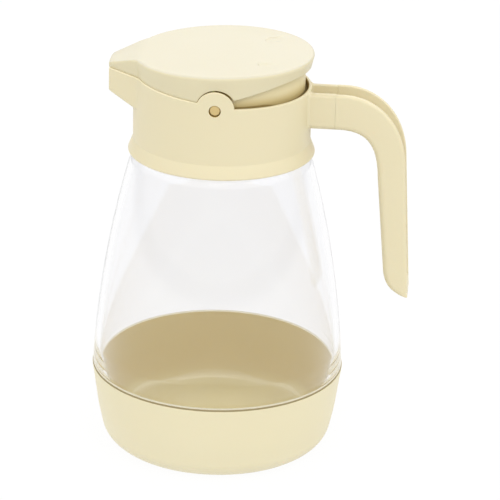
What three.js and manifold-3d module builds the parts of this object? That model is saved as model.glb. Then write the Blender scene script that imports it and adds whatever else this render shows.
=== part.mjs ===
// A syrup dispenser of about 1.4 litres: a clear jar that stands in an ivory base cup, under an
// ivory collar with a spout and a stub that the handle goes on from, and a rocking lid.
// Millimetres, +Z up. The origin is on the jar's axis, on the underside of the base cup. The
// spout points to -X, the handle to +X, and the lid turns on studs along Y.

import * as THREE from "three";
import { ConvexGeometry } from "three/addons/geometries/ConvexGeometry.js";
import { mergeVertices } from "three/addons/utils/BufferGeometryUtils.js";
import Module from "manifold-3d";

// Turned pieces have this many facets, and pieces that touch keep this gap. An edge that is only
// broken, not rounded, has a chamfer this wide. FAR is past every side of the dispenser.
const FACETS = 72;
const GAP = 0.3;
const CHAMFER = 0.6;
const FAR = 200;

// Base cup: radii at the foot, the end of the rounded heel, the knee and the rim.
const CUP_FOOT_R = 53.5;
const CUP_HEEL_R = 60.4;
const CUP_HEEL_Z = 8.5;
const CUP_KNEE_R = 62.8;
const CUP_KNEE_Z = 20;
const CUP_RIM_R = 66;
const CUP_RIM_Z = 43.6;
const CUP_WALL = 2.6;
const CUP_MIDDLE_Z = 32;
const CUP_CORNER_Z = 5.2;

// Clear jar: its side leans in by a little per millimetre of height, and more the higher it is.
const JAR_R = 65.6;
const JAR_LEAN = 0.056;
const JAR_CURVE = 0.00098;
const JAR_WALL = 3;
const JAR_FOOT_WALL = 2.3;
const JAR_FLOOR = 3;
const JAR_SHOULDER_Z = 161;
const JAR_NECK_R = 43.1;
const JAR_NECK_Z = 182;
const JAR_NECK_WALL = 2.4;
const JAR_INSIDE_LOW_Z = 58;

// Collar: a ring with a flared lower lip. Its rim is level behind the pivot and rises in front.
const COLLAR_R = 45.4;
const COLLAR_BORE_R = 43.5;
const COLLAR_LIP_R = 48.2;
const COLLAR_LIP_Z = 160.6;
const COLLAR_FLARE_Z = 167.5;
const COLLAR_BACK_Z = 196.5;
const COLLAR_FRONT_Z = 199;
const COLLAR_FRONT_SLOPE = 0.085;

// Pivot of the lid: an axis along Y through a half-round boss on each side of the collar.
const PIVOT_X = 0.8;
const PIVOT_Z = 196;
const BOSS_R = 9.8;
const BOSS_CLEARANCE = 0.5;
const PIN_HOLE_R = 3.1;
const PIN_R = 2.7;
const PIN_END_Y = 44.5;

// Spout: half widths at the tip and where its side walls cross the collar's inner ring.
const SPOUT_TIP_X = -57;
const SPOUT_TIP_HALF = 7;
const SPOUT_ROOT_X = -38;
const SPOUT_ROOT_HALF = 21.5;
const SPOUT_TIP_LOW_Z = 192;
const SPOUT_SIDE_LOW_Z = 185.5;
const SPOUT_KEEL_LOW_Z = 178.5;
const SPOUT_WALL = 2;
const SPOUT_BEVEL = 2.2;
const SPOUT_KEEL_HALF = 3;

// A wall of the spout that moves in by 1 at the tip moves in by this much across the tip's and
// the root's half width, down at the spout's floor and down from the cover's roof.
const TIP_SHARE = 0.75;
const ROOT_SHARE = 1.25;
const FLOOR_SHARE = 1.2;
const ROOF_SHARE = 1.1;

// Lid: a shallow cap whose top rises a little towards the handle.
const LID_R = 45.7;
const LID_TOP_Z = 212.7;
const LID_TILT = 2;
const LID_PLATE = 2.8;
const LID_EDGE = 2;
const LID_SKIRT_WALL = 2.1;
const LID_BACK_SLOPE = 0.248;
const LID_BACK_Z = 199;
const LID_FRONT_GAP = 0.4;
const LID_SKIRT_DEPTH = 18;
const COVER_ROOT_Z = 211;
const COVER_TIP_Z = 206.4;
const PLUG_R = 42;
const PLUG_WALL = 2.2;
const PLUG_LOW_Z = 190.5;
const PAD_X = 21;
const PAD_HALF = 24;
const PAD_DEPTH = 0.5;

// Handle: a channel section, open outwards, that goes over from an arm to a hanging grip.
const HANDLE_HALF = 10;
const CHANNEL_HALF = 6.8;
const HANDLE_WEB = 3.6;
const HANDLE_EDGE = 1.6;
const HANDLE_TOP_Z = 195.1;
const HANDLE_UNDER_Z = 176.8;
const HANDLE_SEAM_X = 58;
const HANDLE_TIP = [98.9, 87.9];

const wasm = await Module();
wasm.setup();

/** A closed three.js geometry as a solid that can be joined and cut. */
function solidOf(geometry) {
  const bare = geometry.clone();
  bare.deleteAttribute("normal");
  bare.deleteAttribute("uv");
  const merged = mergeVertices(bare, 1e-4);
  const corners = merged.index.array;
  const kept = [];
  for (let i = 0; i < corners.length; i += 3) {
    const [a, b, c] = [corners[i], corners[i + 1], corners[i + 2]];
    if (a !== b && b !== c && c !== a) kept.push(a, b, c);
  }
  return new wasm.Manifold(
    new wasm.Mesh({
      numProp: 3,
      vertProperties: new Float32Array(merged.attributes.position.array),
      triVerts: new Uint32Array(kept),
    }),
  );
}

/** A solid as a named mesh with its own material. */
function meshOf(name, solid, finish) {
  const made = solid.getMesh();
  const geometry = new THREE.BufferGeometry();
  const positions = new THREE.BufferAttribute(made.vertProperties, 3);
  geometry.setAttribute("position", positions);
  geometry.setIndex(new THREE.BufferAttribute(made.triVerts, 1));
  const flat = geometry.toNonIndexed();
  flat.computeVertexNormals();
  const mesh = new THREE.Mesh(flat, new THREE.MeshStandardMaterial(finish));
  mesh.name = name;
  return mesh;
}

/** Points of a stretch of an ellipse from angle a to angle b, in degrees, about a centre. */
function arc(centreR, centreZ, radiusR, radiusZ, a, b, steps) {
  return Array.from({ length: steps + 1 }, (_, i) => {
    const t = THREE.MathUtils.degToRad(a + ((b - a) * i) / steps);
    return [centreR + radiusR * Math.cos(t), centreZ + radiusZ * Math.sin(t)];
  });
}

/** Turns a closed outline of [radius, height] points, anticlockwise, about the Z axis. */
function turned(outline, facets = FACETS) {
  const points = outline.map(([r, z]) => new THREE.Vector2(r, z));
  points.push(points[0].clone());
  const geometry = new THREE.LatheGeometry(points, facets);
  geometry.rotateX(Math.PI / 2);
  return solidOf(geometry);
}

/** A solid cylinder about the Z axis between two heights. */
function turnedBlock(radius, low, high) {
  return turned([
    [0, low],
    [radius, low],
    [radius, high],
    [0, high],
  ]);
}

/** A flat outline of [x, z] points, as thick along Y as twice the half thickness. */
function slab(outline, half, bevel = 0) {
  const shape = new THREE.Shape(outline.map(([x, z]) => new THREE.Vector2(x, z)));
  const geometry = new THREE.ExtrudeGeometry(shape, {
    depth: 2 * (half - bevel),
    bevelEnabled: bevel > 0,
    bevelThickness: bevel,
    bevelSize: bevel,
    bevelOffset: -bevel,
    bevelSegments: 3,
  });
  geometry.rotateX(Math.PI / 2);
  geometry.translate(0, half - bevel, 0);
  return solidOf(geometry);
}

/** A cylinder along Y about the pivot axis, from one Y to another. */
function pivotCylinder(radius, fromY, toY, facets = 40) {
  const geometry = new THREE.CylinderGeometry(radius, radius, toY - fromY, facets);
  geometry.translate(PIVOT_X, (fromY + toY) / 2, PIVOT_Z);
  return solidOf(geometry);
}

/** The convex body of the given [x, y, z] points and of their mirror images across Y = 0. */
function mirroredHull(points) {
  const both = points.flatMap(([x, y, z]) => [
    new THREE.Vector3(x, y, z),
    new THREE.Vector3(x, -y, z),
  ]);
  return solidOf(new ConvexGeometry(both));
}

/** Radius of the cup's outer side at height z. */
function cupRadius(z) {
  if (z < CUP_HEEL_Z) {
    const fall = 1 - z / CUP_HEEL_Z;
    return CUP_FOOT_R + (CUP_HEEL_R - CUP_FOOT_R) * Math.sqrt(1 - fall * fall);
  }
  const [r0, z0, r1, z1] =
    z < CUP_KNEE_Z
      ? [CUP_HEEL_R, CUP_HEEL_Z, CUP_KNEE_R, CUP_KNEE_Z]
      : [CUP_KNEE_R, CUP_KNEE_Z, CUP_RIM_R, CUP_RIM_Z];
  return r0 + ((r1 - r0) * (z - z0)) / (z1 - z0);
}

/** Radius of the jar's outer side at height z, above the cup's rim. */
function jarRadius(z) {
  const rise = z - CUP_RIM_Z;
  return JAR_R - JAR_LEAN * rise - JAR_CURVE * rise * rise;
}

/** Heights from one to another in equal steps, both ends included. */
function heights(from, to, steps) {
  return Array.from({ length: steps + 1 }, (_, i) => from + ((to - from) * i) / steps);
}

/** The ivory cup under the jar: a flat floor, a rounded heel and a side that opens upwards. */
function baseCup() {
  const heel = [0, 0.07, 0.24, 0.52, 1].map((share) => share * CUP_HEEL_Z);
  const outside = [...heel, CUP_KNEE_Z, CUP_MIDDLE_Z, CUP_RIM_Z - CHAMFER].map((z) => [
    cupRadius(z),
    z,
  ]);
  const rim = [
    [CUP_RIM_R - CHAMFER, CUP_RIM_Z],
    [CUP_RIM_R - CUP_WALL, CUP_RIM_Z],
  ];
  const inside = [CUP_MIDDLE_Z, CUP_KNEE_Z, CUP_HEEL_Z, CUP_CORNER_Z, CUP_WALL + CHAMFER].map((z) => [
    cupRadius(z) - CUP_WALL,
    z,
  ]);
  const floor = [
    [CUP_FOOT_R - CUP_WALL, CUP_WALL],
    [0, CUP_WALL],
  ];
  return turned([[0, 0], ...outside, ...rim, ...inside, ...floor]);
}

/** The clear jar: its foot stands inside the cup, and its neck goes up inside the collar. */
function clearJar() {
  const footLow = CUP_WALL + GAP;
  const floorTop = footLow + JAR_FLOOR;
  const inCup = (z) => cupRadius(Math.min(z, CUP_RIM_Z)) - CUP_WALL - GAP;
  const footHeights = [footLow + CHAMFER, CUP_CORNER_Z, CUP_HEEL_Z, CUP_KNEE_Z, CUP_MIDDLE_Z];
  const foot = [...footHeights, CUP_RIM_Z + GAP].map((z) => [inCup(z), z]);
  const step = [
    [JAR_R - CHAMFER, CUP_RIM_Z + GAP],
    [JAR_R, CUP_RIM_Z + GAP + CHAMFER],
  ];
  const side = heights(JAR_INSIDE_LOW_Z - 2, JAR_SHOULDER_Z, 8).map((z) => [jarRadius(z), z]);
  const neck = [
    [jarRadius(JAR_SHOULDER_Z) - 1, JAR_SHOULDER_Z + 1.6],
    [JAR_NECK_R, JAR_SHOULDER_Z + JAR_WALL],
    [JAR_NECK_R, JAR_NECK_Z],
    [JAR_NECK_R - JAR_NECK_WALL, JAR_NECK_Z],
    [JAR_NECK_R - JAR_NECK_WALL, JAR_SHOULDER_Z + 1],
  ];
  const inside = heights(JAR_SHOULDER_Z - 4, JAR_INSIDE_LOW_Z, 7).map((z) => [
    jarRadius(z) - JAR_WALL,
    z,
  ]);
  const insideFoot = [CUP_RIM_Z, CUP_MIDDLE_Z, CUP_KNEE_Z, floorTop + 6].map((z) => [
    inCup(z) - JAR_FOOT_WALL,
    z,
  ]);
  const corner = [
    [inCup(CUP_HEEL_Z) - JAR_FOOT_WALL - 1, floorTop + 2],
    [CUP_FOOT_R - 2 * CUP_WALL, floorTop],
    [0, floorTop],
  ];
  const floor = [
    [0, footLow],
    [CUP_FOOT_R - CUP_WALL - GAP, footLow],
  ];
  return turned([...floor, ...foot, ...step, ...side, ...neck, ...inside, ...insideFoot, ...corner]);
}

/** Height of the collar's rim at a place in front of the pivot. */
function frontRimZ(x) {
  return COLLAR_FRONT_Z - x * COLLAR_FRONT_SLOPE;
}

/** The space above the collar's rim, which slopes in front of the pivot and is level behind. */
function aboveCollar() {
  return slab(
    [
      [PIVOT_X, COLLAR_BACK_Z],
      [FAR, COLLAR_BACK_Z],
      [FAR, FAR + PIVOT_Z],
      [-FAR, FAR + PIVOT_Z],
      [-FAR, frontRimZ(-FAR)],
      [PIVOT_X, frontRimZ(PIVOT_X)],
    ],
    FAR,
  );
}

/** Plan points of the spout's bevelled corner, from the tip's face to the side wall. */
function tipCorner(inset) {
  const tip = SPOUT_TIP_X + inset;
  const half = SPOUT_TIP_HALF - inset * TIP_SHARE;
  return [
    [tip, half - SPOUT_BEVEL],
    [tip + CHAMFER, half - CHAMFER],
    [tip + SPOUT_BEVEL, half + SPOUT_BEVEL * 0.6],
  ];
}

/** The spout's body: a wedge in plan with a blunt tip and a keeled underside. */
function spoutBody(inset, topZ) {
  const outline = [...tipCorner(inset), [SPOUT_ROOT_X, SPOUT_ROOT_HALF - inset * ROOT_SHARE]];
  const tipLow = SPOUT_TIP_LOW_Z + inset * FLOOR_SHARE;
  const low = [tipLow, tipLow - 0.2, tipLow - 1, SPOUT_SIDE_LOW_Z + inset * FLOOR_SHARE];
  const keelLow = SPOUT_KEEL_LOW_Z + inset * FLOOR_SHARE;
  return mirroredHull([
    ...outline.map(([x, y]) => [x, y, topZ]),
    ...outline.map(([x, y], i) => [x, y, low[i]]),
    [SPOUT_ROOT_X, SPOUT_KEEL_HALF, keelLow],
    [SPOUT_TIP_X + inset + 1, SPOUT_KEEL_HALF, tipLow - 1.4],
  ]);
}

/** The collar: ring, bosses with pin holes, spout and the handle's stub, in one moulding. */
function collar(handleStub) {
  const top = PIVOT_Z + BOSS_R + 1;
  const lipBore = jarRadius(COLLAR_LIP_Z) + GAP;
  const seatZ = JAR_SHOULDER_Z + JAR_WALL + GAP;
  const ring = turned([
    [lipBore, COLLAR_LIP_Z],
    [COLLAR_LIP_R - CHAMFER, COLLAR_LIP_Z],
    [COLLAR_LIP_R, COLLAR_LIP_Z + CHAMFER],
    [COLLAR_R, COLLAR_FLARE_Z],
    [COLLAR_R, top],
    [COLLAR_BORE_R, top],
    [COLLAR_BORE_R, seatZ],
    [jarRadius(JAR_SHOULDER_Z) + GAP, JAR_SHOULDER_Z + GAP],
  ]);
  const bosses = pivotCylinder(BOSS_R, -FAR, FAR, 56);
  const bore = turnedBlock(COLLAR_BORE_R, seatZ + 1, top + 1);
  const leadIn = turned([
    [0, COLLAR_BACK_Z - CHAMFER],
    [COLLAR_BORE_R, COLLAR_BACK_Z - CHAMFER],
    [COLLAR_BORE_R + 2 * CHAMFER, COLLAR_BACK_Z + CHAMFER],
    [0, COLLAR_BACK_Z + CHAMFER],
  ]);
  const outside = ring.add(spoutBody(0, top)).add(handleStub);
  return outside
    .subtract(aboveCollar().subtract(bosses))
    .subtract(bore)
    .subtract(leadIn)
    .subtract(spoutBody(SPOUT_WALL, top))
    .subtract(pivotCylinder(PIN_HOLE_R, -FAR, FAR));
}

/** Turns a solid by the lid's tilt about Y and lifts it to the lid's top. */
function tilted(solid) {
  return solid.rotate([0, -LID_TILT, 0]).translate([0, 0, LID_TOP_Z]);
}

/** The lid's cover over the spout: its top falls from the plate to the tip. */
function spoutCover(inset) {
  const rootX = SPOUT_ROOT_X + inset;
  const root = SPOUT_ROOT_HALF - inset * ROOT_SHARE;
  const shoulder = [rootX - 3.6, root - 2.8];
  const outline = [...tipCorner(inset), shoulder, [rootX, root]];
  const tipTop = COVER_TIP_Z - inset * ROOF_SHARE;
  const rootTop = COVER_ROOT_Z - inset * ROOF_SHARE;
  const roof = [tipTop + 0.3, tipTop, tipTop + 0.6, rootTop - 0.2, rootTop];
  return mirroredHull([
    ...outline.map(([x, y], i) => [x, y, roof[i]]),
    ...outline.map(([x, y]) => [x, y, PIVOT_Z]),
  ]);
}

/** The lid: plate and skirt, spout cover, plug ring inside the collar and two pivot studs. */
function lid() {
  const shell = tilted(
    turned([
      [0, -LID_PLATE],
      [LID_R - LID_SKIRT_WALL, -LID_PLATE],
      [LID_R - LID_SKIRT_WALL, -LID_SKIRT_DEPTH],
      [LID_R, -LID_SKIRT_DEPTH],
      ...arc(LID_R - LID_EDGE, -LID_EDGE, LID_EDGE, LID_EDGE, 0, 90, 4),
      [0, 0],
    ]),
  );
  const pad = tilted(
    mirroredHull([
      [PAD_X + 2, PAD_HALF - 4, -PAD_DEPTH],
      [PAD_X + 5, PAD_HALF, -PAD_DEPTH],
      [LID_R, PAD_HALF + 22, -PAD_DEPTH / 2],
      [PAD_X, PAD_HALF - 4, 1],
      [PAD_X + 4, PAD_HALF + 1, 1],
      [LID_R + 2, PAD_HALF + 26, 1],
    ]),
  );
  const plugSpace = turnedBlock(LID_R - LID_SKIRT_WALL, JAR_NECK_Z, LID_TOP_Z - LID_PLATE - 2);
  const cover = spoutCover(0).subtract(spoutCover(SPOUT_WALL)).subtract(plugSpace);
  const backCut = slab(
    [
      [PIVOT_X, PIVOT_Z - BOSS_R],
      [FAR, PIVOT_Z - BOSS_R],
      [FAR, LID_BACK_Z + (FAR - PIVOT_X) * LID_BACK_SLOPE],
      [PIVOT_X, LID_BACK_Z],
    ],
    FAR,
  );
  const frontCut = slab(
    [
      [-FAR, PIVOT_Z - BOSS_R],
      [PIVOT_X, PIVOT_Z - BOSS_R],
      [PIVOT_X, frontRimZ(PIVOT_X) + LID_FRONT_GAP],
      [-FAR, frontRimZ(-FAR) + LID_FRONT_GAP],
    ],
    FAR,
  );
  const underPlate = tilted(turnedBlock(LID_R, -FAR / 4, -LID_PLATE / 2));
  const plug = turned([
    [PLUG_R - PLUG_WALL, PLUG_LOW_Z],
    [PLUG_R - CHAMFER, PLUG_LOW_Z],
    [PLUG_R, PLUG_LOW_Z + CHAMFER],
    [PLUG_R, LID_TOP_Z + LID_PLATE],
    [PLUG_R - PLUG_WALL, LID_TOP_Z + LID_PLATE],
  ]).intersect(underPlate);
  const insidePlug = turnedBlock(PLUG_R - PLUG_WALL / 2, PIVOT_Z - BOSS_R, PIVOT_Z + BOSS_R);
  const studs = pivotCylinder(PIN_R, -PIN_END_Y, PIN_END_Y).subtract(insidePlug);
  return shell
    .add(cover)
    .subtract(pad)
    .subtract(backCut)
    .subtract(frontCut)
    .subtract(pivotCylinder(BOSS_R + BOSS_CLEARANCE, -FAR, FAR, 56))
    .add(plug)
    .add(studs);
}

/** Points along a cubic curve through the plane of the handle. */
function bend(a, b, c, d, steps) {
  const points = [a, b, c, d].map(([x, z]) => new THREE.Vector2(x, z));
  return new THREE.CubicBezierCurve(...points).getPoints(steps).map((p) => [p.x, p.y]);
}

/** Moves each point of an open line sideways by a distance, to its left as it is walked. */
function offset(line, distance) {
  return line.map(([x, z], i) => {
    const [ax, az] = line[Math.max(i - 1, 0)];
    const [bx, bz] = line[Math.min(i + 1, line.length - 1)];
    const length = Math.hypot(bx - ax, bz - az);
    return [x - ((bz - az) / length) * distance, z + ((bx - ax) / length) * distance];
  });
}

/** The whole handle, arm and grip, from the collar's wall to the tip. */
function handleBody() {
  const start = COLLAR_R - 1;
  const over = bend([62, HANDLE_TOP_Z], [79, HANDLE_TOP_Z], [93.3, 181], [94.4, 160], 14);
  const under = bend([60, HANDLE_UNDER_Z], [74.5, HANDLE_UNDER_Z], [80, 170], [80.9, 152], 10);
  const end = bend([85.5, 103], [86.2, 93], [91.5, 88.3], HANDLE_TIP, 8);
  const fingerSide = [[start, HANDLE_UNDER_Z], ...under, ...end];
  const outline = [...fingerSide, ...over.reverse(), [start, HANDLE_TOP_Z]];
  const channelFloor = offset([[start, HANDLE_UNDER_Z], ...under, ...end.slice(0, 4)], HANDLE_WEB);
  const channel = [
    ...channelFloor,
    [HANDLE_TIP[0] + 8, channelFloor[channelFloor.length - 1][1]],
    [HANDLE_TIP[0] + 8, HANDLE_TOP_Z + 8],
    [start, HANDLE_TOP_Z + 8],
  ];
  return slab(outline, HANDLE_HALF, HANDLE_EDGE).subtract(slab(channel, CHANNEL_HALF));
}

/** Everything of a solid between two X positions. */
function between(solid, fromX, toX) {
  const geometry = new THREE.BoxGeometry(toX - fromX, FAR, 2 * FAR);
  geometry.translate((fromX + toX) / 2, 0, PIVOT_Z);
  return solid.intersect(solidOf(geometry));
}

const wholeHandle = handleBody();
const stub = between(wholeHandle, COLLAR_R - 0.6, HANDLE_SEAM_X);
const grip = between(wholeHandle, HANDLE_SEAM_X + GAP, 2 * HANDLE_TIP[0]);

const ivory = { color: "#ece2bf", roughness: 0.45, metalness: 0 };
const clear = { color: "#f2f4f4", roughness: 0.06, metalness: 0, transparent: true, opacity: 0.3 };

const dispenser = new THREE.Group();
dispenser.add(
  meshOf("base_cup", baseCup(), ivory),
  meshOf("clear_jar", clearJar(), clear),
  meshOf("collar", collar(stub), ivory),
  meshOf("handle", grip, ivory),
  meshOf("lid", lid(), { ...ivory, color: "#f5efd6" }),
);

export default dispenser;
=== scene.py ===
"""Looks of a syrup dispenser: a clear jar in an ivory base cup, with an ivory collar, handle and lid.

Sizes are in millimetres, in the frame of the CAD model: +Z up along the jar's axis, the spout
towards -X, the handle towards +X and the lid's pivot along Y. A bearing is an angle about the
jar's axis in radians, from 0 at the spout over the near side (-Y) to pi at the handle.
"""

import logging
from dataclasses import dataclass
from enum import Enum

import bpy
import numpy as np
from mathutils import Matrix, Vector


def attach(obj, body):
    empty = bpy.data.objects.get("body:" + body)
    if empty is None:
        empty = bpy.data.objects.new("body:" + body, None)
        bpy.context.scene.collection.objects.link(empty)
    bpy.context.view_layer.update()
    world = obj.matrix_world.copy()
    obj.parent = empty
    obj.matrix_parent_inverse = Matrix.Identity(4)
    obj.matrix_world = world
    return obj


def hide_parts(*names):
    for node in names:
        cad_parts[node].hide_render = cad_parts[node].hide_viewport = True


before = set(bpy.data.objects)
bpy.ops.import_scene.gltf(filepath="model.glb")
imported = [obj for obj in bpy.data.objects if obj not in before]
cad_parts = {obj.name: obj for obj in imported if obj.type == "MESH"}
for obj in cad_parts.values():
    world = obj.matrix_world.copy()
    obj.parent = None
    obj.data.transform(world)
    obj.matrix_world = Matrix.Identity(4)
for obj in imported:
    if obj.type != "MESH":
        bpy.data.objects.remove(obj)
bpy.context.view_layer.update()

Array = np.ndarray
Point = tuple[float, float]
MM = 0.001
# Part of a face's direction from which it counts as turned inward or upward, and as level
TURNED = 0.3
LEVEL = 0.8
log = logging.getLogger("dispenser")


class Body(Enum):
    """The two bodies of the CAD model that pieces ride on."""

    JUG = "jug"
    LID = "lid"


class Slot(Enum):
    """The record's material slots."""

    BASE = "ivory_base"
    COLLAR = "ivory_collar"
    HANDLE = "ivory_handle"
    LID = "ivory_lid"
    JAR = "clear_jar"


# Formulas


def smooth_min(a: Array, b: Array, band: float) -> Array:
    """The smaller of two values, rounded off by a parabola where they differ by less than a band.

    Args:
        a: first values.
        b: second values.
        band: difference at which the rounding starts.
    Returns:
        min(a, b) - h * h * band / 4, where h = 1 - |a - b| / band, or 0 outside the band.
    """
    h = np.clip(1 - np.abs(a - b) / band, 0, 1)
    return np.minimum(a, b) - h * h * band / 4


def smooth_max(a: Array, b: Array, band: float) -> Array:
    """The larger of two values, filled in by a parabola where they differ by less than a band.

    Args:
        a: first values.
        b: second values.
        band: difference at which the fillet starts.
    Returns:
        The mirror image of smooth_min.
    """
    return -smooth_min(-a, -b, band)


def smooth_step(x: Array, low: float, high: float) -> Array:
    """A step from 0 at low to 1 at high, as t * t * (3 - 2 * t).

    Args:
        x: positions.
        low: position where the step starts.
        high: position where it ends.
    Returns:
        The height of the step at each position.
    """
    t = np.clip((x - low) / (high - low), 0, 1)
    return t * t * (3 - 2 * t)


def bezier(points: list[Point], steps: int) -> Array:
    """Points along a cubic curve, the sum of its four corners times the Bernstein weights.

    Args:
        points: the four corners of the curve.
        steps: number of equal steps of its parameter.
    Returns:
        An array of steps + 1 points.
    """
    t = np.linspace(0, 1, steps + 1)[:, None]
    a, b, c, d = np.array(points, float)
    return (1 - t) ** 3 * a + 3 * t * (1 - t) ** 2 * b + 3 * t * t * (1 - t) * c + t**3 * d


def filleted(corners: Array, radii: Array, steps: int) -> Array:
    """Closed outlines whose corners are rounded by circular arcs.

    The arc at a corner P runs between points A and B on its two sides, a tangent length
    r / tan(b) from P, where b is half the angle at P. It is the conic
    ((1-s)^2 A + 2 s (1-s) w P + s^2 B) / ((1-s)^2 + 2 s (1-s) w + s^2), and the weight
    w = sin(b) makes the conic a true circle.

    Args:
        corners: outlines as an array of shape (..., corners, 2).
        radii: radius at each corner, of shape (..., corners).
        steps: number of steps along each arc.
    Returns:
        An array of shape (..., corners * (steps + 1), 2).
    """
    before = np.roll(corners, 1, axis=-2) - corners
    after = np.roll(corners, -1, axis=-2) - corners
    long_before = np.linalg.norm(before, axis=-1, keepdims=True)
    long_after = np.linalg.norm(after, axis=-1, keepdims=True)
    before, after = before / long_before, after / long_after
    half = np.arccos(np.clip((before * after).sum(-1, keepdims=True), -1, 1)) / 2
    most = 0.49 * np.minimum(long_before, long_after)
    tangent = np.minimum(np.asarray(radii)[..., None] / np.tan(half), most)
    start, end = corners + before * tangent, corners + after * tangent
    s = np.linspace(0, 1, steps + 1)[:, None]
    weight = np.sin(half)[..., None, :]
    top = (1 - s) ** 2 * start[..., None, :] + s**2 * end[..., None, :]
    top = top + 2 * s * (1 - s) * weight * corners[..., None, :]
    bottom = (1 - s) ** 2 + 2 * s * (1 - s) * weight + s**2
    return (top / bottom).reshape(*corners.shape[:-2], -1, 2)


def profile(corners: list[tuple[float, float, float]], steps: int = 6) -> Array:
    """An outline from corners given as (radius, height, rounding).

    Args:
        corners: the corners in order, each with the radius of its rounding.
        steps: number of steps along each rounding.
    Returns:
        An array of (radius, height) points.
    """
    rows = np.array(corners, float)
    return filleted(rows[:, :2], rows[:, 2], steps)


def turned(outline: Array, bearings: Array) -> Array:
    """An outline of (radius, height) points turned about the jar's axis.

    Args:
        outline: points, with the material on their left.
        bearings: bearings at which the outline is repeated.
    Returns:
        A grid of points (-r cos b, -r sin b, z), one row for each point of the outline.
    """
    return around(outline[:, :1], bearings[None, :], outline[:, 1:])


def around(radius: Array, bearing: Array, height: Array) -> Array:
    """Points in space from radii, bearings and heights, which broadcast against each other."""
    r, b, z = np.broadcast_arrays(radius, bearing, height)
    return np.stack([-r * np.cos(b), -r * np.sin(b), z], axis=-1)


def full_circle(count: int) -> Array:
    """Evenly spaced bearings all the way round, the last one short of the first."""
    return np.arange(count) * 2 * np.pi / count


def off_spout(bearing: Array) -> Array:
    """Angles away from the spout to either side, from 0 to pi."""
    return np.abs(np.angle(np.exp(1j * bearing)))


# Meshes


def new_object(name: str, data: bpy.types.ID) -> bpy.types.Object:
    """Makes an object and links it to the scene.

    Args:
        name: the object's name.
        data: its mesh, lamp or camera.
    Returns:
        The object, at the origin.
    """
    thing = bpy.data.objects.new(name, data)
    bpy.context.scene.collection.objects.link(thing)
    return thing


class Shell:
    """A closed surface put together from grids of points, in millimetres.

    Attributes:
        WELD: size of the steps to which points are rounded to find those that coincide.
        WELD_SHIFT: shift, in these steps, that keeps round values off the edges of a step.
        SHARP: angle between two faces from which their edge stays crisp.
    """

    WELD = 1e-4
    WELD_SHIFT = 0.137
    SHARP = np.radians(38)

    def __init__(self) -> None:
        """Starts an empty surface."""
        self.points: list[Array] = []
        self.quads: list[Array] = []
        self.lids: list[Array] = []
        self.count = 0

    def grid(
        self,
        points: Array,
        ring_rows: bool = False,
        ring_columns: bool = True,
        keep: Array | None = None,
    ) -> None:
        """Adds the quads between a grid's points: (i, j), (i, j+1), (i+1, j+1), (i+1, j).

        Args:
            points: array of shape (rows, columns, 3).
            ring_rows: whether the last row joins the first.
            ring_columns: whether the last column joins the first.
            keep: which of the quads are kept, where some are left out for a hole.
        """
        rows, columns = points.shape[:2]
        index = np.arange(rows * columns).reshape(rows, columns) + self.count
        index = np.concatenate([index, index[:1]], 0) if ring_rows else index
        index = np.concatenate([index, index[:, :1]], 1) if ring_columns else index
        corners = [index[:-1, :-1], index[:-1, 1:], index[1:, 1:], index[1:, :-1]]
        quads = np.stack(corners, axis=-1)
        self.quads.append(quads[keep] if keep is not None else quads.reshape(-1, 4))
        self.points.append(points.reshape(-1, 3))
        self.count += rows * columns

    def cap(self, row: Array, turn: bool) -> None:
        """Closes an open end by one flat face.

        Args:
            row: the points round the end.
            turn: whether the face looks back along the rows.
        """
        index = np.arange(len(row)) + self.count
        self.lids.append(index[::-1] if turn else index)
        self.points.append(row)
        self.count += len(row)

    def bar(self, points: Array) -> None:
        """Adds a bar with a flat face at each end.

        Args:
            points: closed outlines along the bar, as an array (rows, points, 3).
        """
        self.grid(points)
        self.cap(points[0], turn=True)
        self.cap(points[-1], turn=False)

    def mesh(self, name: str) -> bpy.types.Mesh:
        """Welds points that coincide, drops what has no area and makes the mesh in metres.

        Args:
            name: the mesh's name.
        Returns:
            The mesh, smooth but for its sharp edges.
        """
        points = np.concatenate(self.points)
        keys = np.round(points / self.WELD + self.WELD_SHIFT).astype(np.int64)
        _, first, where = np.unique(keys, axis=0, return_index=True, return_inverse=True)
        where = where.reshape(-1)
        quads = where[np.concatenate(self.quads)]
        twin = quads == np.roll(quads, -1, axis=1)
        thin = twin.sum(1) == 1
        triangles = quads[thin][~twin[thin]].reshape(-1, 3)
        faces = quads[~twin.any(1)].tolist() + triangles.tolist()
        faces += [where[lid].tolist() for lid in self.lids]
        made = bpy.data.meshes.new(name)
        made.from_pydata((points[first] * MM).tolist(), [], faces)
        made.validate()
        made.polygons.foreach_set("use_smooth", np.ones(len(made.polygons), bool))
        made.set_sharp_from_angle(angle=self.SHARP)
        made.update()
        return made

    def piece(
        self, name: str, finish: bpy.types.Material, body: Body, node: str
    ) -> bpy.types.Object:
        """Makes the surface a piece of the model.

        Args:
            name: the piece's name.
            finish: its material.
            body: the CAD body that it rides on.
            node: the CAD node that it stands for.
        Returns:
            The new object.
        """
        thing = new_object(name, self.mesh(name))
        thing.data.materials.append(finish)
        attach(thing, body.value)
        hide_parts(node)
        log.info("%s: %d faces, for %s on %s", name, len(thing.data.polygons), node, body.value)
        return thing


def face_frame(thing: bpy.types.Object) -> tuple[Array, Array]:
    """Reads where a piece's faces are and which way they look.

    Args:
        thing: the piece.
    Returns:
        The middles of its faces, in millimetres, and their directions.
    """
    faces = thing.data.polygons
    middle, way = np.empty(len(faces) * 3), np.empty(len(faces) * 3)
    faces.foreach_get("center", middle)
    faces.foreach_get("normal", way)
    return middle.reshape(-1, 3) / MM, way.reshape(-1, 3)


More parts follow.
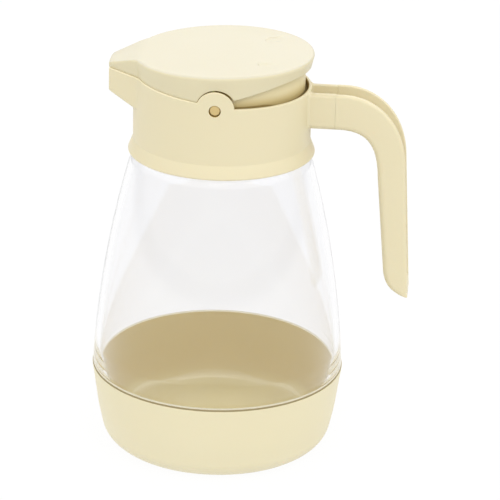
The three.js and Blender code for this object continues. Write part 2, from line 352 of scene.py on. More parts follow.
def looks_inward(middle: Array, way: Array) -> Array:
    """Marks the faces that look at the jar's axis.

    Args:
        middle: middles (x, y, z) of the faces.
        way: their directions (u, v, w).
    Returns:
        Whether (x u + y v) / r is less than -TURNED, for each face.
    """
    radius = np.hypot(*middle[:, :2].T)
    return (middle[:, :2] * way[:, :2]).sum(1) < -TURNED * radius


def paint(thing: bpy.types.Object, finish: bpy.types.Material, chosen: Array) -> None:
    """Gives some of a piece's faces a finish of their own.

    Args:
        thing: the piece.
        finish: the material that is added to it.
        chosen: one mark for each face.
    """
    index = np.empty(len(chosen), np.int32)
    thing.data.polygons.foreach_get("material_index", index)
    index[chosen] = len(thing.data.materials)
    thing.data.materials.append(finish)
    thing.data.polygons.foreach_set("material_index", index)


# Finishes


def linear(code: str) -> tuple[float, float, float, float]:
    """An sRGB hex colour as linear red, green, blue and alpha.

    Args:
        code: six hex digits after a #.
    Returns:
        c / 12.92 up to 0.04045, and ((c + 0.055) / 1.055) ** 2.4 above it, for each part.
    """
    parts = np.array([int(code[i : i + 2], 16) for i in (1, 3, 5)]) / 255
    low, high = parts / 12.92, ((parts + 0.055) / 1.055) ** 2.4
    red, green, blue = np.where(parts <= 0.04045, low, high).tolist()
    return red, green, blue, 1.0


def add_node(
    tree: bpy.types.NodeTree, kind: str, settings: dict | None = None, inputs: dict | None = None
) -> bpy.types.Node:
    """Adds a node, with its settings and links.

    Args:
        tree: the node tree.
        kind: Blender's name for the node's type.
        settings: values of the node's own properties.
        inputs: for each input, by name or number, a value or the output that is linked to it.
    Returns:
        The new node.
    """
    node = tree.nodes.new(kind)
    for key, value in (settings or {}).items():
        setattr(node, key, value)
    for key, value in (inputs or {}).items():
        if isinstance(value, bpy.types.NodeSocket):
            tree.links.new(value, node.inputs[key])
        else:
            node.inputs[key].default_value = value
    return node


def bare_material(name: str) -> tuple[bpy.types.Material, bpy.types.NodeTree]:
    """Makes a material that has no nodes yet.

    Args:
        name: the material's name.
    Returns:
        The material and its node tree.
    """
    made = bpy.data.materials.new(name)
    made.use_nodes = True
    made.node_tree.nodes.clear()
    return made, made.node_tree


@dataclass(frozen=True)
class MouldedIvory:
    """Injection-moulded ivory ABS: satin from a fine mould texture, a little uneven in gloss.

    Attributes:
        name: the material's name.
        colour: sRGB hex of the plastic.
        deep_colour: sRGB hex of its slightly yellower flow marks.
        roughness: mean roughness of the satin surface.
        flow_mm: size of the soft flow marks, some centimetres wide.
        texture_mm: grain of the mould texture; the real one is about 0.1 mm, too fine to show.
        texture_depth_mm: depth of the grain.
        gloss_band: how far the roughness strays to either side.
        scatter_mm: how far light spreads inside the plastic.
        low_colour: sRGB hex painted in low down: painted light on the cup's inside, painted shade on
            the plug ring.
        low_mm: heights between which that painted colour passes over into the other colours.
    """

    name: str
    colour: str
    deep_colour: str
    roughness: float = 0.42
    flow_mm: float = 45.0
    texture_mm: float = 0.7
    texture_depth_mm: float = 0.004
    gloss_band: float = 0.04
    scatter_mm: float = 1.5
    low_colour: str | None = None
    low_mm: Point = (5.0, 15.0)

    def material(self) -> bpy.types.Material:
        """Builds the node material.

        Returns:
            The new material.
        """
        made, tree = bare_material(self.name)
        place = add_node(tree, "ShaderNodeTexCoord").outputs["Object"]
        flow = add_node(
            tree,
            "ShaderNodeTexNoise",
            inputs={"Vector": place, "Scale": 1 / (self.flow_mm * MM), "Detail": 2.0},
        )
        tint = add_node(
            tree,
            "ShaderNodeMix",
            {"data_type": "RGBA"},
            {"Factor": flow.outputs["Fac"], 6: linear(self.colour), 7: linear(self.deep_colour)},
        )
        if self.low_colour:
            tint = self.paint_low_light_and_shade(tree, place, tint)
        gloss = add_node(
            tree,
            "ShaderNodeMapRange",
            inputs={
                "Value": flow.outputs["Fac"],
                "From Min": 0.3,
                "From Max": 0.7,
                "To Min": self.roughness - self.gloss_band,
                "To Max": self.roughness + self.gloss_band,
            },
        )
        grain = add_node(
            tree,
            "ShaderNodeTexNoise",
            inputs={"Vector": place, "Scale": 1 / (self.texture_mm * MM), "Detail": 3.0},
        )
        bump = add_node(
            tree,
            "ShaderNodeBump",
            inputs={
                "Height": grain.outputs["Fac"],
                "Distance": self.texture_depth_mm * MM,
                "Strength": 0.5,
            },
        )
        shader = add_node(
            tree,
            "ShaderNodeBsdfPrincipled",
            inputs={
                "Base Color": tint.outputs[2],
                "Roughness": gloss.outputs[0],
                "Normal": bump.outputs["Normal"],
                "IOR": 1.5,
                "Subsurface Weight": 0.08,
                "Subsurface Radius": (1.0, 0.7, 0.35),
                "Subsurface Scale": self.scatter_mm * MM,
            },
        )
        add_node(tree, "ShaderNodeOutputMaterial", inputs={"Surface": shader.outputs[0]})
        return made

    def paint_low_light_and_shade(
        self, tree: bpy.types.NodeTree, place: bpy.types.NodeSocket, tint: bpy.types.Node
    ) -> bpy.types.Node:
        """Mixes in the low colour below a height, as painted light or painted shade for what falls
        there.

        Args:
            tree: the node tree.
            place: the output that gives the position.
            tint: the node that mixes the other colours.
        Returns:
            The node that mixes them all.
        """
        height = add_node(tree, "ShaderNodeSeparateXYZ", inputs={0: place}).outputs["Z"]
        low, high = self.low_mm
        rise = add_node(
            tree,
            "ShaderNodeMapRange",
            {"interpolation_type": "SMOOTHSTEP"},
            {"Value": height, "From Min": low * MM, "From Max": high * MM},
        )
        inputs = {"Factor": rise.outputs[0], 6: linear(self.low_colour), 7: tint.outputs[2]}
        return add_node(tree, "ShaderNodeMix", {"data_type": "RGBA"}, inputs)


@dataclass(frozen=True)
class ClearPolycarbonate:
    """Blow-moulded clear polycarbonate: glass-clear, with a faint waviness of its wall.

    Attributes:
        name: the material's name.
        colour: sRGB hex of what comes through the wall.
        ior: refractive index.
        roughness: mean roughness of the polished surface.
        wave_mm: length of the slow waves that blow moulding leaves in the wall.
        wave_depth_mm: depth of the waves.
    """

    name: str
    colour: str = "#FCFCFD"
    ior: float = 1.585
    roughness: float = 0.02
    wave_mm: float = 30.0
    wave_depth_mm: float = 0.02

    def material(self) -> bpy.types.Material:
        """Builds the node material.

        Returns:
            The new material.
        """
        made, tree = bare_material(self.name)
        place = add_node(tree, "ShaderNodeTexCoord").outputs["Object"]
        wave = add_node(
            tree,
            "ShaderNodeTexNoise",
            inputs={"Vector": place, "Scale": 1 / (self.wave_mm * MM), "Detail": 1.0},
        )
        polish = add_node(
            tree,
            "ShaderNodeMapRange",
            inputs={
                "Value": wave.outputs["Fac"],
                "To Min": self.roughness * 0.5,
                "To Max": self.roughness * 1.5,
            },
        )
        bump = add_node(
            tree,
            "ShaderNodeBump",
            inputs={
                "Height": wave.outputs["Fac"],
                "Distance": self.wave_depth_mm * MM,
                "Strength": 1.0,
            },
        )
        shader = add_node(
            tree,
            "ShaderNodeBsdfPrincipled",
            inputs={
                "Base Color": linear(self.colour),
                "Roughness": polish.outputs[0],
                "Normal": bump.outputs["Normal"],
                "IOR": self.ior,
                "Transmission Weight": 1.0,
            },
        )
        add_node(tree, "ShaderNodeOutputMaterial", inputs={"Surface": shader.outputs[0]})
        return made


@dataclass(frozen=True)
class OpalTable:
    """Opal acrylic of a light table: matt white and lit from below, so that shadows stay faint.

    Attributes:
        name: the material's name.
        colour: sRGB hex of the acrylic where light falls on it.
        glow: strength of the light that comes through it, over its lamps.
        far_glow: what is left of it away from them.
        near_mm: radius of the field of lamps.
        far_mm: radius at which their light has faded.
    """

    name: str
    colour: str = "#454545"
    glow: float = 0.935
    far_glow: float = 0.5
    near_mm: float = 850.0
    far_mm: float = 1700.0

    def material(self) -> bpy.types.Material:
        """Builds the node material.

        Returns:
            The new material.
        """
        made, tree = bare_material(self.name)
        place = add_node(tree, "ShaderNodeTexCoord").outputs["Object"]
        away = add_node(tree, "ShaderNodeVectorMath", {"operation": "LENGTH"}, {0: place})
        light = add_node(
            tree,
            "ShaderNodeMapRange",
            {"interpolation_type": "SMOOTHSTEP"},
            {
                "Value": away.outputs["Value"],
                "From Min": self.near_mm * MM,
                "From Max": self.far_mm * MM,
                "To Min": self.glow,
                "To Max": self.far_glow,
            },
        )
        shader = add_node(
            tree,
            "ShaderNodeBsdfPrincipled",
            inputs={
                "Base Color": linear(self.colour),
                "Roughness": 1.0,
                "Specular IOR Level": 0.0,
                "Emission Color": linear("#FFFFFF"),
                "Emission Strength": light.outputs[0],
            },
        )
        add_node(tree, "ShaderNodeOutputMaterial", inputs={"Surface": shader.outputs[0]})
        return made


@dataclass(frozen=True)
class Ivories:
    """The ivory pieces' materials, all of one plastic, in copies painted deeper for shade and paler
    for highlights and sheen.

    Attributes:
        cup: the base cup's outside.
        core: its inside, under the jar, painted darker as shade, with light painted in low down.
        brim_painted_shade: the top of its rim, seen through the jar's edge, painted greyer as shade.
        step: the small step at its rim, under the jar's edge, painted dark brown as the shadow in it.
        collar: the collar's and its stub's outside.
        rim: the collar's rim in front, which stands out from the lid's skirt, painted paler as a
            highlight.
        seam: painted shade in the lower part of the pin holes and in the narrow gaps along the bosses'
            arcs.
        shade: painted deeper shade on the bore behind the pivot and on the plug ring's foot.
        handle: the handle.
        lid: the lid's skirt.
        roof: its upper side, painted paler and greyer as the sheen of light on it.
        plug: its plug ring and underside, and the collar's bore: a deeper copy painted as shade,
            darker still towards the foot.
        stud: the pivot studs, painted darker as the shade in the pin holes.
    """

    cup: bpy.types.Material
    core: bpy.types.Material
    brim_painted_shade: bpy.types.Material
    step: bpy.types.Material
    collar: bpy.types.Material
    rim: bpy.types.Material
    seam: bpy.types.Material
    shade: bpy.types.Material
    handle: bpy.types.Material
    lid: bpy.types.Material
    roof: bpy.types.Material
    plug: bpy.types.Material
    stud: bpy.types.Material


def ivory(
    kind: str, colour: str, deep_colour: str, **rest: float | str | Point
) -> bpy.types.Material:
    """An ivory material named for what it is on."""
    return MouldedIvory("moulded_abs_ivory_" + kind, colour, deep_colour, **rest).material()


# Sizes that several pieces share


@dataclass(frozen=True)
class Pivot:
    """The lid's axis, along Y through the collar's bosses.

    Attributes:
        x: its place towards the handle.
        z: its height.
        hole_radius: radius of the holes in the bosses.
        stud_radius: radius of the lid's studs, which turn in them.
        stud_lift: how far the studs are above the middle of the holes.
        stud_end: distance of a stud's end from the jar's axis.
    """

    x: float = 0.8
    z: float = 196.0
    hole_radius: float = 3.0
    stud_radius: float = 2.58
    stud_lift: float = 0.3
    stud_end: float = 44.95


@dataclass(frozen=True)
class Wedge:
    """The spout's form in plan and below: a wedge with a blunt tip and a keeled underside.

    Attributes:
        tip: distance of the blunt tip from the jar's axis.
        tip_half: half of the tip's width.
        root: distance from the axis at which root_half is measured.
        root_half: half of the wedge's width there.
        tip_low_z: height of the underside at the tip's corners.
        floor_slope: rise of the underside towards the tip.
        keel_slope: its rise away from the middle.
        keel_round: sine of the bearing over which the keel is rounded.
        corner_band: rounding of the corners in plan.
        edge_band: rounding between walls and underside.
        widest: cosine of the bearing at which the wedge ends.
        least: smallest cosine that a distance is divided by.
    """

    tip: float = 57.3
    tip_half: float = 8.0
    root: float = 38.0
    root_half: float = 21.5
    tip_low_z: float = 193.2
    floor_slope: float = 0.69
    keel_slope: float = 0.42
    keel_round: float = 0.06
    corner_band: float = 1.0
    edge_band: float = 0.9
    widest: float = 0.62
    least: float = 0.05

    def plan(self, bearing: Array, inset: float) -> Array:
        """Distance from the jar's axis to the wedge's outline along a bearing.

        A flat wall at a distance d from the axis, with its normal n, is met at d / (n . ray).
        The nearer of the tip's wall and the side wall counts, rounded at their corner.

        Args:
            bearing: bearings of the rays.
            inset: how far the walls stand inside the outer ones.
        Returns:
            Distances along the rays, and 0 for rays that don't point at the spout.
        """
        ahead, aside = np.cos(bearing), np.abs(np.sin(bearing))
        run, rise = self.tip - self.root, self.root_half - self.tip_half
        length = np.hypot(run, rise)
        normal = (rise / length, run / length)
        wall = normal[0] * self.tip + normal[1] * self.tip_half - inset
        side = wall / np.maximum(normal[0] * ahead + normal[1] * aside, self.least)
        front = (self.tip - inset) / np.maximum(ahead, self.least)
        near = smooth_min(front, side, self.corner_band)
        return np.where(ahead > self.widest, near, 0)

    def floor(self, bearing: Array, height: Array, lift: float) -> Array:
        """Distance to the sloping underside along level rays at given heights.

        Args:
            bearing: bearings of the rays.
            height: heights of the rays.
            lift: how far the surface is above the outer underside.
        Returns:
            Distances along the rays, which grow with height.
        """
        ahead = np.maximum(np.cos(bearing), self.least)
        aside = np.hypot(np.sin(bearing), self.keel_round) - self.keel_round
        base = self.tip_low_z + lift - self.floor_slope * self.tip
        base = base - self.keel_slope * self.tip_half
        return (height - base) / (self.floor_slope * ahead + self.keel_slope * aside)

    def reach(self, bearing: Array, height: Array, inset: float, lift: float) -> Array:
        """Distance to the wedge's surface, walls and underside together."""
        return smooth_min(self.plan(bearing, inset), self.floor(bearing, height, lift), self.edge_band)


@dataclass(frozen=True)
class SplitLine:
    """The edge where collar and lid meet: a line in front, an arc over the boss, a line behind.

    Attributes:
        front_z: height of the front line, at the jar's axis.
        front_slope: its rise towards the spout.
        back_z: height of the back line, at the pivot.
        back_slope: its rise towards the handle.
        boss_radius: radius of the arc about the pivot.
        wall_radius: radius of the wall that the edge is on.
        shift: how far the arc's centre is from the pivot, towards the handle.
        droop: how much the back line bends down, per square millimetre past its bend.
        droop_x: where it starts to bend.
        pivot: the lid's axis.
        spout_turn: bearing in degrees up to which the steps are crowded.
        spout_steps: number of steps up to there.
        front_steps: number of steps from there to the arc.
        arc_points: number of points along the arc.
        back_steps: number of steps from the arc to the handle.
    """

    front_z: float
    front_slope: float
    back_z: float
    back_slope: float
    boss_radius: float
    wall_radius: float
    shift: float = 0.0
    droop: float = 0.0
    droop_x: float = 28.0
    pivot: Pivot = Pivot()
    spout_turn: float = 31.0
    spout_steps: int = 72
    front_steps: int = 40
    arc_points: int = 57
    back_steps: int = 95

    def arc_ends(self) -> tuple[float, float]:
        """Finds where the arc meets the lines.

        A line at a distance d from the arc's centre, with its normal at an angle n, is met
        at n + arccos(d / boss_radius) in front and n - arccos(d / boss_radius) behind.

        Returns:
            Angles of the arc's front and back end, above +X.
        """
        middle = self.pivot.x + self.shift
        front_off = self.front_z - self.pivot.z - self.front_slope * middle
        front_off /= np.hypot(1, self.front_slope)
        front = np.arctan2(1, self.front_slope) + np.arccos(front_off / self.boss_radius)
        back_off = self.back_z + self.back_slope * self.shift - self.pivot.z
        back_off /= np.hypot(1, self.back_slope)
        back = np.arctan2(1, -self.back_slope) - np.arccos(back_off / self.boss_radius)
        return float(front), float(back)

    def edge(self, wedge: Wedge) -> tuple[Array, Array]:
        """Works out the whole edge, in even steps on each of its stretches.

        The near half runs from the spout (0) to the handle (pi), with steps crowded at the
        spout and even ones along the arc, and the far half is its mirror image.

        Args:
            wedge: the spout, whose outline the edge follows in front.
        Returns:
            Bearings and heights along the edge.
        """
        front, back = self.arc_ends()
        angle = np.linspace(front, back, self.arc_points)
        arc_x = self.pivot.x + self.shift + self.boss_radius * np.cos(angle)
        arc_z = self.pivot.z + self.boss_radius * np.sin(angle)
        arc = np.arccos(-arc_x / self.wall_radius)
        spout = np.radians(np.linspace(0, self.spout_turn, self.spout_steps, endpoint=False))
        turn = np.radians(self.spout_turn)
        ahead = np.linspace(turn, arc[0], self.front_steps, endpoint=False)
        behind = np.linspace(arc[-1], np.pi, self.back_steps + 1)[1:]
        before = np.concatenate([spout, ahead])
        radius = np.maximum(self.wall_radius, wedge.plan(before, 0))
        before_z = self.front_z + self.front_slope * radius * np.cos(before)
        behind_x = -self.wall_radius * np.cos(behind)
        bent = np.maximum(behind_x - self.droop_x, 0) ** 2
        behind_z = self.back_z + self.back_slope * (behind_x - self.pivot.x) - self.droop * bent
        bearing = np.concatenate([before, arc, behind])
        height = np.concatenate([before_z, arc_z, behind_z])
        whole = np.concatenate([bearing, 2 * np.pi - bearing[-2:0:-1]])
        return whole, np.concatenate([height, height[-2:0:-1]])

    def inset(self, bearing: Array, height: Array, depth: Array) -> tuple[Array, Array]:
        """The edge moved square to itself, into the wall below or above it.

        Args:
            bearing: bearings along the edge.
            height: heights along the edge.
            depth: distances, below the edge where positive, one for each row.
        Returns:
            Rows of bearings and rows of heights.
        """
        along = np.diff(np.append(bearing, bearing[0] + 2 * np.pi)) * self.wall_radius
        up = np.diff(np.append(height, height[0]))
        along, up = along + np.roll(along, 1), up + np.roll(up, 1)
        length = np.hypot(along, up)
        d = np.asarray(depth)[:, None]
        return bearing + d * (up / length) / self.wall_radius, height - d * (along / length)


# Pieces


@dataclass
class BaseCup:
    """The ivory cup that the jar stands in."""

    bottom_corner: float = 58.65
    heel_round: float = 12.5
    knee: float = 62.8
    knee_z: float = 20.0
    knee_round: float = 60.0
    rim: float = 66.0
    rim_z: float = 43.6
    wall: float = 2.6
    rim_wall: float = 3.9
    edge: float = 0.35
    step: float = 0.45
    step_high: float = 1.0
    columns: int = 192

    def outline(self) -> Array:
        """Draws the cup's section: flat floor, rounded heel, soft knee and small step at the rim.

        Returns:
            An array of (radius, height) points.
        """
        shoulder_z = self.rim_z - self.step_high
        return profile(
            [
                (0, 0, 0),
                (self.bottom_corner, 0, self.heel_round),
                (self.knee, self.knee_z, self.knee_round),
                (self.rim - 0.07, shoulder_z, self.edge),
                (self.rim - self.step, shoulder_z + 0.05, 0.1),
                (self.rim - self.step, self.rim_z, 0.1),
                (self.rim - self.rim_wall, self.rim_z, 0.2),
                (self.knee - self.wall, self.knee_z, self.knee_round),
                (self.bottom_corner - self.wall, self.wall, self.heel_round - self.wall),
                (0, self.wall, 0),
            ],
            steps=10,
        )

    def build(self, ivories: Ivories) -> None:
        """Turns the section, makes the piece and paints shade on its inside (with light low down), its
        rim's top and its step.

        Args:
            ivories: the ivory materials.
        """
        shell = Shell()
        shell.grid(turned(self.outline(), full_circle(self.columns)))
        cup = shell.piece("base_cup_shell", ivories.cup, Body.JUG, "base_cup")
        middle, way = face_frame(cup)
        radius, z, upward = np.hypot(*middle[:, :2].T), middle[:, 2], way[:, 2]
        # painted shade: the inside and the floor under the jar, with painted light low down
        floor = (upward > TURNED) & (z < self.knee_z)
        paint(cup, ivories.core, looks_inward(middle, way) | floor)
        # painted shade: the rim's top, greyer where it is seen through the jar's edge
        paint(cup, ivories.brim_painted_shade, (upward > LEVEL) & (z > self.rim_z - self.step))
        # painted shadow: the step under the jar's edge, in dark brown
        step = (radius > self.rim - self.step - 0.04) & (radius < self.rim - 0.25)
        paint(cup, ivories.step, step & (z > self.rim_z - self.step_high - 0.1))


@dataclass
class ClearJar:
    """The clear jar: foot inside the cup, a side that leans in more and more, and a neck."""

    radius: float = 65.6
    lean: float = 0.056
    curve: float = 0.00098
    wall: float = 3.0
    foot_wall: float = 2.3
    rim_foot_wall: float = 0.4
    floor: float = 3.3
    contact: float = -0.06
    shoulder_z: float = 161.0
    neck: float = 43.1
    neck_z: float = 182.0
    neck_wall: float = 2.4
    heel: float = 0.8
    foot_clear: float = 0.4
    neck_round: float = 0.8
    steps: int = 64
    columns: int = 160

    def side(self, height: Array, cup: BaseCup) -> Array:
        """Radius of the outer side at a height above the cup's rim."""
        rise = height - cup.rim_z
        return self.radius - self.lean * rise - self.curve * rise * rise

    def outline(self, cup: BaseCup) -> Array:
        """Draws the jar's section: outside upwards, over the neck, and inside downwards.

        Args:
            cup: the cup, which the jar's foot follows.
        Returns:
            An array of (radius, height) points.
        """
        low = cup.wall + self.contact
        top = low + self.floor
        foot_in = cup.wall + self.contact
        rim_in = cup.rim_wall + self.contact
        ledge = cup.rim_z + self.contact
        outer_z = np.linspace(ledge + 3, self.shoulder_z - 1, self.steps)
        inner_z = np.linspace(self.shoulder_z - 5, cup.rim_z + 10, self.steps)
        outer = np.stack([self.side(outer_z, cup), outer_z, 0 * outer_z], axis=1)
        inner = np.stack([self.side(inner_z, cup) - self.wall, inner_z, 0 * inner_z], axis=1)
        inside_foot = foot_in + self.foot_wall + self.foot_clear
        corners = [
            (0, low, 0),
            (cup.bottom_corner - foot_in, low, cup.heel_round - cup.wall),
            (cup.knee - foot_in, cup.knee_z, cup.knee_round),
            (cup.rim - rim_in, ledge, 0.1),
            (self.radius, ledge, 0.25),
            *outer.tolist(),
            (self.side(self.shoulder_z, cup), self.shoulder_z, 1.2),
            (self.neck, self.shoulder_z + 2.6, self.neck_round),
            (self.neck, self.neck_z, self.neck_round),
            (self.neck - self.neck_wall, self.neck_z, self.neck_round),
            (self.neck - self.neck_wall, self.shoulder_z + 1, 3),
            *inner.tolist(),
            (cup.rim - rim_in - self.rim_foot_wall, cup.rim_z, 30),
            (cup.knee - inside_foot, cup.knee_z, 90),
            (cup.bottom_corner - inside_foot - self.heel, top, 6),
            (0, top, 0),
        ]
        return profile(corners, steps=6)

    def build(self, cup: BaseCup, finish: bpy.types.Material) -> None:
        """Turns the section and makes the piece, which casts no shadow on the ivory.

        Args:
            cup: the cup that it stands in.
            finish: the clear material.
        """
        shell = Shell()
        shell.grid(turned(self.outline(cup), full_circle(self.columns)))
        jar = shell.piece("jar_wall", finish, Body.JUG, "clear_jar")
        jar.visible_shadow = jar.visible_diffuse = False


@dataclass
class Collar:
    """The ivory collar: ring with a flared lip, bosses with pin holes, spout and handle stub."""

    wedge: Wedge
    pivot: Pivot
    split: SplitLine
    radius: float = 45.4
    bore: float = 43.5
    lip: float = 48.2
    lip_bore: float = 45.95
    lip_z: float = 160.6
    flare_z: float = 167.5
    seat_z: float = 164.3
    spout_wall: float = 2.0
    spout_floor: float = 2.4
    fillet_band: float = 0.9
    rim_round: float = 0.7
    block_half: Point = (4.8, 4.6)
    hole_bevel: float = 0.12
    # x and height from which the bore behind the pivot gets painted deeper shade
    shade_from: Point = (8.0, 186.0)
    # x and height from which the front rim gets its painted highlight
    painted_highlight_from: Point = (-12.0, 190.0)

    def outside(self, bearing: Array, height: Array) -> Array:
        """Radius of the outer wall: the ring's, or the spout's with a fillet between them."""
        spout = self.wedge.reach(bearing, height, 0.0, 0.0)
        return smooth_max(np.full_like(spout, self.radius), spout, self.fillet_band)

    def inside(self, bearing: Array, height: Array) -> Array:
        """Radius of the inner wall: the bore's, or the pouring channel's."""
        spout = self.wedge.reach(bearing, height, self.spout_wall, self.spout_floor)
        return smooth_max(np.full_like(spout, self.bore), spout, self.fillet_band)

    def wall(self) -> tuple[Array, Array]:
        """Works out the wall's rows, from above the flare up to the rim's rounding.

        The share of the way up is crowded where the spout's underside leaves the ring.

        Returns:
            Rows of bearings and rows of heights.
        """
        bearing, height = self.split.edge(self.wedge)
        rim_b, rim_z = self.split.inset(bearing, height, [self.rim_round])
        share = np.concatenate(
            [
                np.linspace(0, 0.2, 4, endpoint=False),
                np.linspace(0.2, 0.76, 36, endpoint=False),
                np.linspace(0.76, 1, 13),
            ]
        )[:, None]
        low = self.flare_z + 1
        return bearing + share * (rim_b - bearing), low + share * (rim_z - low)

    def rim(self) -> Array:
        """Rows over the rim: a quarter round outside, the flat top and a quarter round inside.

        Returns:
            A grid of points.
        """
        bearing, height = self.split.edge(self.wedge)
        turn = np.linspace(0, np.pi / 2, 6)[1:]
        down = self.rim_round * (1 - np.sin(turn))
        b, z = self.split.inset(bearing, height, np.concatenate([down, down[::-1]]))
        outer, inner = self.outside(b, z), self.inside(b, z)
        aside = self.rim_round * (1 - np.cos(turn))[:, None]
        half = len(turn)
        radius = np.concatenate([outer[:half] - aside, inner[half:] + aside[::-1]])
        return around(radius, b, z)

    def pin_hole(
        self, shell: Shell, bearing: Array, height: Array, keep: Array, side: float, top: int
    ) -> None:
        """Leaves a block of the wall out and puts a round hole in its place.

        The strip that fills the block runs from the block's edge to the hole's edge on the
        outer wall, through the wall, and back out to the block's edge on the inner wall.

        Args:
            shell: the surface that the strip is added to.
            bearing: bearings of the wall's rows.
            height: heights of the wall's rows.
            keep: marks of the quads that stay, which are changed here.
            side: bearing of the pivot on this side.
            top: number of the row above the wall's outer rows.
        """
        rows = len(height)
        across = (bearing - side) * self.radius
        half_width, half_height = self.block_half
        inside = (np.abs(across) < half_width) & (np.abs(height - self.pivot.z) < half_height)
        block_rows, block_columns = np.where(inside.any(1))[0], np.where(inside.any(0))[0]
        a, b = block_rows[0], block_rows[-1]
        c, d = block_columns[0], block_columns[-1]
        keep[a:b, c:d] = False
        keep[top + rows - 1 - b : top + rows - 1 - a, c:d] = False
        i = np.concatenate(
            [np.full(d - c, a), np.arange(a, b), np.full(d - c, b), np.arange(b, a, -1)]
        )
        j = np.concatenate(
            [np.arange(c, d), np.full(b - a, d), np.arange(d, c, -1), np.full(b - a, c)]
        )
        edge = np.stack([across[i, j], height[i, j] - self.pivot.z])
        unit = edge / np.hypot(*edge)
        blend = np.linspace(0, 1, 5)[:, None, None]
        bevel = self.hole_bevel
        face = edge * (1 - blend) + unit * (self.pivot.hole_radius + bevel) * blend
        turn = np.linspace(0, np.pi / 2, 4)[1:, None, None]
        rounding = unit * (self.pivot.hole_radius + bevel * (1 - np.sin(turn)))
        back = edge * (1 - blend) + unit * self.pivot.hole_radius * blend
        strips = np.concatenate([face, rounding, back[::-1]])
        b_rows, z_rows = side + strips[:, 0] / self.radius, self.pivot.z + strips[:, 1]
        outer, inner = self.outside(b_rows, z_rows), self.inside(b_rows, z_rows)
        sunk = bevel * (1 - np.cos(turn[:, :, 0]))
        radius = np.concatenate(
            [outer[: len(face)], outer[len(face) : -len(back)] - sunk, inner[-len(back) :]]
        )
        shell.grid(around(radius, b_rows, z_rows))

    def ring(self, ivories: Ivories) -> None:
        """Builds ring, bosses and spout as one closed surface.

        Args:
            ivories: the ivory materials.
        """
        bearing, height = self.wall()
        edge_b = self.split.edge(self.wedge)[0]
        lip = filleted(
            np.array(
                [
                    (self.lip_bore, self.lip_z),
                    (self.lip, self.lip_z),
                    (self.radius, self.flare_z),
                    (self.radius, self.flare_z + 0.5),
                    (self.bore, self.flare_z + 0.5),
                    (self.bore, self.seat_z),
                    (self.lip_bore - 0.1, self.seat_z - 3),
                ]
            ),
            np.array([0.2, 0.7, 0.5, 0, 0, 0.3, 0]),
            5,
        ).reshape(7, -1, 2)
        lower = turned(lip[:3].reshape(-1, 2), edge_b)
        seat = turned(lip[5:].reshape(-1, 2), edge_b)
        outer = around(self.outside(bearing, height), bearing, height)
        inner = around(self.inside(bearing, height), bearing, height)[::-1]
        rim = self.rim()
        rows = [lower, outer, rim, inner, seat]
        points = np.concatenate(rows)
        keep = np.ones(points.shape[:2], bool)
        shell = Shell()
        first, top = len(lower), len(outer) + len(rim)
        wall_keep = keep[first : first + len(outer) + len(rim) + len(inner)]
        for side in self.pivot_bearings():
            self.pin_hole(shell, bearing, height, wall_keep, side, top)
        shell.grid(points, ring_rows=True, keep=keep)
        ring = shell.piece("collar_ring", ivories.collar, Body.JUG, "collar")
        self.dress(ring, ivories)

    def dress(self, ring: bpy.types.Object, ivories: Ivories) -> None:
        """Paints shade on the bore, deeper shade behind the pivot, in the pin holes and along the
        arcs, and a highlight on the rim in front.

        Args:
            ring: the collar's ring.
            ivories: the ivory materials.
        """
        middle, way = face_frame(ring)
        x, y, z = middle.T
        radius = np.hypot(x, y)
        bore = looks_inward(middle, way)
        # painted shade: the bore, in a deeper copy of the ivory
        paint(ring, ivories.plug, bore)
        # painted deeper shade on the bore behind the pivot
        shade_x, shade_z = self.shade_from
        behind = (x > shade_x) & (z > shade_z) & (radius < self.bore + 0.4)
        paint(ring, ivories.shade, bore & behind)
        # painted shade: the pin holes below their top and the rim's faces along the arcs' gaps
        off = np.hypot(x - self.pivot.x, z - self.pivot.z)
        hole = (off < self.pivot.hole_radius + 0.02) & (np.abs(y) > 40) & (z < self.pivot.z + 1.4)
        arc = (off > self.split.boss_radius - 0.9) & (off < self.split.boss_radius + 0.2)
        arc &= (radius < self.radius - self.rim_round) & (z > self.pivot.z)
        paint(ring, ivories.seam, hole | arc)
        # painted highlight: the upward faces of the rim in front, paler
        outer = self.outside(np.arctan2(-y, -x), z) - radius < 1.2
        rim_x, rim_z = self.painted_highlight_from
        paint(ring, ivories.rim, (way[:, 2] > 0.25) & (x < rim_x) & (z > rim_z) & outer)

    def pivot_bearings(self) -> tuple[float, float]:
        """Bearings of the pivot axis on the near and on the far side."""
        near = float(np.arccos(-self.pivot.x / self.radius))
        return near, 2 * np.pi - near


@dataclass
class ChannelSection:
    """A U-shaped section, open away from the fingers, with rounded edges."""

    half: float = 10.0
    channel_half: float = 6.8
    web: float = 3.6
    finger_round: float = 3.2
    outer_round: float = 2.0
    inner_round: float = 0.7
    floor_round: float = 1.2

    def loops(self, depth: Array, floor: Array, grow: Array) -> Array:
        """Outlines across the handle, one for each station.

        Args:
            depth: depth of the section from the finger side to the open side.
            floor: depth of the channel's floor from the finger side.
            grow: how far the outline stands out all round, as in a fillet at the root.
        Returns:
            An array (stations, points, 2) of positions across (Y) and away from the fingers.
        """
        half, channel = self.half + grow, self.channel_half - grow
        low, high, web = -grow, depth + grow, np.minimum(floor + grow, depth + grow - 0.02)
        corners = [
            (-half, low),
            (half, low),
            (half, high),
            (channel, high),
            (channel, web),
            (-channel, web),
            (-channel, high),
            (-half, high),
        ]
        points = np.stack([np.stack(np.broadcast_arrays(*c), -1) for c in corners], axis=1)
        f, o, i, r = self.finger_round, self.outer_round, self.inner_round, self.floor_round
        radii = np.array([f, f, o, i, r, r, i, o]) * np.ones((len(points), 1))
        radii = np.minimum(radii, 0.45 * (points[:, 2, 1] - points[:, 1, 1])[:, None])
        return filleted(points, radii, 6)


